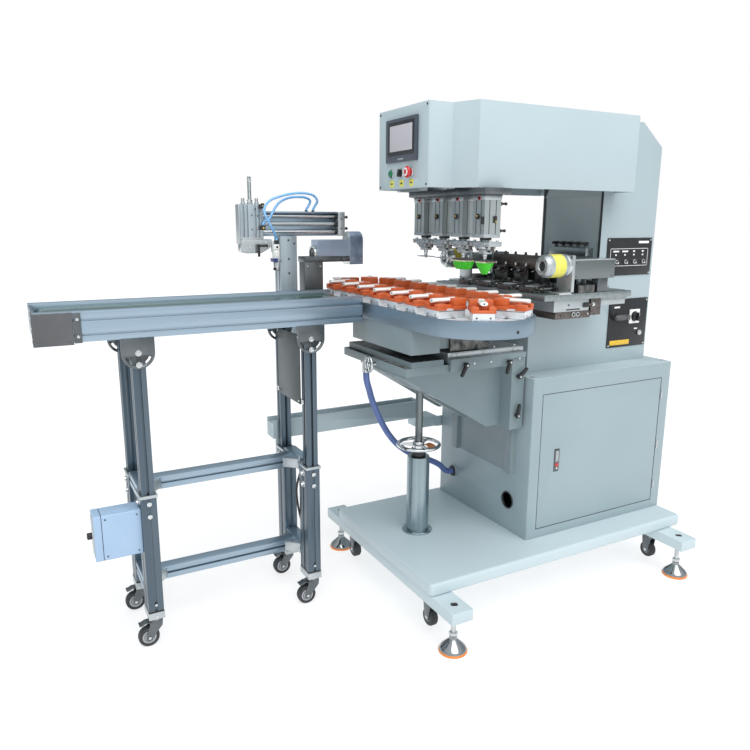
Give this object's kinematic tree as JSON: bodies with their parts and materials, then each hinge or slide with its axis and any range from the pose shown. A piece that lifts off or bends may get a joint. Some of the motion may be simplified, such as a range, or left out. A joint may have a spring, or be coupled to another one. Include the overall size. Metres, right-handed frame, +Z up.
{
  "type": "pad printing machine",
  "caption": "Pad printing machine for lighters: carriers run round an oval track under printing pads, fed by a telescopic belt conveyor and a pick-and-place arm.",
  "frame": {"origin": "centre of the machine's outline, on the floor", "axes": "+X from the conveyor to the back of the column, +Y from the cabinet door to the far side, +Z up"},
  "size_m": [2.277, 1.08, 1.74],
  "materials": {
    "paint": "fine-textured pale grey-green machine enamel",
    "chrome": "polished chrome",
    "black": "matte black plastic",
    "green": "translucent green push button",
    "red": "glossy red plastic",
    "steel": "brushed and ground steel",
    "aluminium": "clear anodised aluminium",
    "orange": "moulded orange clamp blocks with white lighters",
    "silicone": "bright green silicone printing pad on a steel holder",
    "belt": "dark green belt with a smooth face",
    "rubber": "dark grey rubber tyre",
    "box": "pale blue enamel",
    "hose": "smooth blue-grey hose",
    "airTube": "sky blue air tube"
  },
  "bodies": {
    "machine": {"base_frame": "paint", "cabinet": "paint", "column": "paint", "arm_cover": "paint", "head_panel": "paint", "touch_panel": "black", "timer_panel": "black", "power_panel": "black", "jack_tube": "steel", "ink_bench": "steel", "ink_motor_near": "steel", "ink_motor_far": "steel", "stand_frame": "aluminium", "control_box": "box", "tie_beam": "paint", "dust_hose": "hose", "mains_lead": "black"},
    "door": {"cabinet_door": "paint"},
    "latch": {"door_latch": "chrome"},
    "start_button": {"start_button": "green"},
    "selector": {"mode_selector": "black"},
    "stop_button": {"stop_button": "red"},
    "power_knob": {"rotary_switch": "black"},
    "jack_wheel": {"jack_handwheel": "chrome"},
    "knee": {"knee": "paint"},
    "cross_wheel": {"cross_handwheel": "chrome"},
    "saddle": {"saddle": "paint"},
    "table": {"table_housing": "paint", "oval_track": "aluminium"},
    "front_run": {"carriers_front_run": "orange"},
    "print_run": {"carriers_print_run": "orange"},
    "near_turn": {"carriers_near_turn": "orange"},
    "far_turn": {"carriers_far_turn": "orange"},
    "saddle_lock_left": {"saddle_lock_left": "black"},
    "saddle_lock_right": {"saddle_lock_right": "black"},
    "knee_lock_upper": {"knee_lock_upper": "black"},
    "knee_lock_lower": {"knee_lock_lower": "black"},
    "pad_carriage": {"pad_carriage": "aluminium"},
    "doctor": {"doctor_carriage": "steel"},
    "conveyor": {"conveyor_frame": "aluminium", "conveyor_belt": "belt", "pickup_post": "aluminium", "ink_dryer": "aluminium", "air_hose_long": "airTube", "air_hose_short": "airTube"},
    "pickup_carriage": {"pickup_carriage": "aluminium"},
    "pickup_ram": {"pickup_ram": "steel"},
    "speed_knob": {"speed_knob": "black"},
    "pad_ram_1": {"pad_ram_1": "silicone"},
    "pad_ram_2": {"pad_ram_2": "silicone"},
    "pad_ram_3": {"pad_ram_3": "steel"},
    "pad_ram_4": {"pad_ram_4": "steel"},
    "fork_left_near": {"caster_fork_left_near": "steel"},
    "wheel_left_near": {"caster_wheel_left_near": "rubber"},
    "fork_left_far": {"caster_fork_left_far": "steel"},
    "wheel_left_far": {"caster_wheel_left_far": "rubber"},
    "fork_right_near": {"caster_fork_right_near": "steel"},
    "wheel_right_near": {"caster_wheel_right_near": "rubber"},
    "fork_right_far": {"caster_fork_right_far": "steel"},
    "wheel_right_far": {"caster_wheel_right_far": "rubber"}
  },
  "joints": [
    {"name": "door_swing", "type": "hinge", "parent": "machine", "child": "door", "pos_m": [1.0847, -0.269, 0.506], "axis": [0, 0, 1], "range_deg": [0, 110]},
    {"name": "latch_pull", "type": "hinge", "parent": "door", "child": "latch", "pos_m": [0.5525, -0.267, 0.545], "axis": [-1, 0, 0], "range_deg": [0, 40]},
    {"name": "start_press", "type": "slide", "parent": "machine", "child": "start_button", "axis": [1, 0, 0], "range_m": [0, 0.003], "stiffness_N_per_m": 400},
    {"name": "selector_turn", "type": "hinge", "parent": "machine", "child": "selector", "pos_m": [0.0345, 0.006, 1.529], "axis": [1, 0, 0], "range_deg": [-45, 45]},
    {"name": "stop_press", "type": "slide", "parent": "machine", "child": "stop_button", "axis": [1, 0, 0], "range_m": [0, 0.005], "stiffness_N_per_m": 600},
    {"name": "power_turn", "type": "hinge", "parent": "machine", "child": "power_knob", "pos_m": [1.0155, -0.17, 1.004], "axis": [0, -1, 0], "range_deg": [0, 90]},
    {"name": "knee_lift", "type": "slide", "parent": "machine", "child": "knee", "axis": [0, 0, 1], "range_m": [-0.05, 0.03], "deforming": ["dust_hose"]},
    {"name": "jack_turn", "type": "hinge", "parent": "machine", "child": "jack_wheel", "pos_m": [0.1195, 0.005, 0.5543], "axis": [0, 0, 1], "range_deg": [-1501, 901]},
    {"name": "saddle_cross", "type": "slide", "parent": "knee", "child": "saddle", "axis": [1, 0, 0], "range_m": [-0.015, 0.04]},
    {"name": "cross_turn", "type": "hinge", "parent": "knee", "child": "cross_wheel", "pos_m": [-0.1145, -0.035, 0.89], "axis": [1, 0, 0], "range_deg": [-1081, 2881]},
    {"name": "table_slide", "type": "slide", "parent": "saddle", "child": "table", "axis": [0, 1, 0], "range_m": [-0.03, 0.03]},
    {"name": "index_front", "type": "slide", "parent": "table", "child": "front_run", "axis": [0, -1, 0], "range_m": [0, 0.12]},
    {"name": "index_print", "type": "slide", "parent": "table", "child": "print_run", "axis": [0, 1, 0], "range_m": [0, 0.12]},
    {"name": "index_near", "type": "hinge", "parent": "table", "child": "near_turn", "pos_m": [0.0935, -0.36, 1.067], "axis": [0, 0, 1], "range_deg": [0, 60.05]},
    {"name": "index_far", "type": "hinge", "parent": "table", "child": "far_turn", "pos_m": [0.0935, 0.36, 1.067], "axis": [0, 0, 1], "range_deg": [0, 60.05]},
    {"name": "saddle_lock_left_turn", "type": "hinge", "parent": "saddle", "child": "saddle_lock_left", "pos_m": [0.1405, -0.25, 0.902], "axis": [0, -1, 0], "range_deg": [-20, 20]},
    {"name": "saddle_lock_right_turn", "type": "hinge", "parent": "saddle", "child": "saddle_lock_right", "pos_m": [0.3245, -0.25, 0.896], "axis": [0, -1, 0], "range_deg": [-20, 20]},
    {"name": "knee_lock_upper_turn", "type": "hinge", "parent": "knee", "child": "knee_lock_upper", "pos_m": [0.3815, -0.236, 0.836], "axis": [0, -1, 0], "range_deg": [0, 30]},
    {"name": "knee_lock_lower_turn", "type": "hinge", "parent": "knee", "child": "knee_lock_lower", "pos_m": [0.3815, -0.236, 0.692], "axis": [0, -1, 0], "range_deg": [-20, 25]},
    {"name": "pad_shuttle", "type": "slide", "parent": "machine", "child": "pad_carriage", "axis": [1, 0, 0], "range_m": [0, 0.22]},
    {"name": "pad_press_1", "type": "slide", "parent": "pad_carriage", "child": "pad_ram_1", "axis": [0, 0, 1], "range_m": [-0.05, 0]},
    {"name": "pad_press_2", "type": "slide", "parent": "pad_carriage", "child": "pad_ram_2", "axis": [0, 0, 1], "range_m": [-0.05, 0]},
    {"name": "pad_press_3", "type": "slide", "parent": "pad_carriage", "child": "pad_ram_3", "axis": [0, 0, 1], "range_m": [-0.05, 0]},
    {"name": "pad_press_4", "type": "slide", "parent": "pad_carriage", "child": "pad_ram_4", "axis": [0, 0, 1], "range_m": [-0.05, 0]},
    {"name": "doctor_stroke", "type": "slide", "parent": "machine", "child": "doctor", "axis": [1, 0, 0], "range_m": [-0.06, 0]},
    {"name": "conveyor_lift", "type": "slide", "parent": "machine", "child": "conveyor", "axis": [0, 0, 1], "range_m": [-0.05, 0.1]},
    {"name": "pickup_travel", "type": "slide", "parent": "conveyor", "child": "pickup_carriage", "axis": [1, 0, 0], "range_m": [0, 0.3], "deforming": ["air_hose_long", "air_hose_short"]},
    {"name": "pickup_lift", "type": "slide", "parent": "pickup_carriage", "child": "pickup_ram", "axis": [0, 0, 1], "range_m": [-0.048, 0]},
    {"name": "speed_turn", "type": "hinge", "parent": "machine", "child": "speed_knob", "pos_m": [-1.0345, 0.082, 0.408], "axis": [1, 0, 0], "range_deg": [0, 270]},
    {"name": "swivel_left_near", "type": "hinge", "parent": "machine", "child": "fork_left_near", "pos_m": [-0.8595, 0.053, 0.09], "axis": [0, 0, 1], "continuous": true},
    {"name": "roll_left_near", "type": "hinge", "parent": "fork_left_near", "child": "wheel_left_near", "pos_m": [-0.8855, 0.053, 0.034], "axis": [0, 1, 0], "continuous": true},
    {"name": "swivel_left_far", "type": "hinge", "parent": "machine", "child": "fork_left_far", "pos_m": [-0.8595, 0.302, 0.09], "axis": [0, 0, 1], "continuous": true},
    {"name": "roll_left_far", "type": "hinge", "parent": "fork_left_far", "child": "wheel_left_far", "pos_m": [-0.8855, 0.302, 0.034], "axis": [0, 1, 0], "continuous": true},
    {"name": "swivel_right_near", "type": "hinge", "parent": "machine", "child": "fork_right_near", "pos_m": [-0.2995, 0.053, 0.09], "axis": [0, 0, 1], "continuous": true},
    {"name": "roll_right_near", "type": "hinge", "parent": "fork_right_near", "child": "wheel_right_near", "pos_m": [-0.3255, 0.053, 0.034], "axis": [0, 1, 0], "continuous": true},
    {"name": "swivel_right_far", "type": "hinge", "parent": "machine", "child": "fork_right_far", "pos_m": [-0.2995, 0.302, 0.09], "axis": [0, 0, 1], "continuous": true},
    {"name": "roll_right_far", "type": "hinge", "parent": "fork_right_far", "child": "wheel_right_far", "pos_m": [-0.3255, 0.302, 0.034], "axis": [0, 1, 0], "continuous": true}
  ],
  "couplings": [
    {"joint": "jack_turn", "follows": "knee_lift", "rad_per_m": 523.6},
    {"joint": "cross_turn", "follows": "saddle_cross", "rad_per_m": 1256.6},
    {"joint": "index_print", "follows": "index_front", "ratio": 1},
    {"joint": "index_near", "follows": "index_front", "rad_per_m": 8.7266},
    {"joint": "index_far", "follows": "index_front", "rad_per_m": 8.7266}
  ]
}
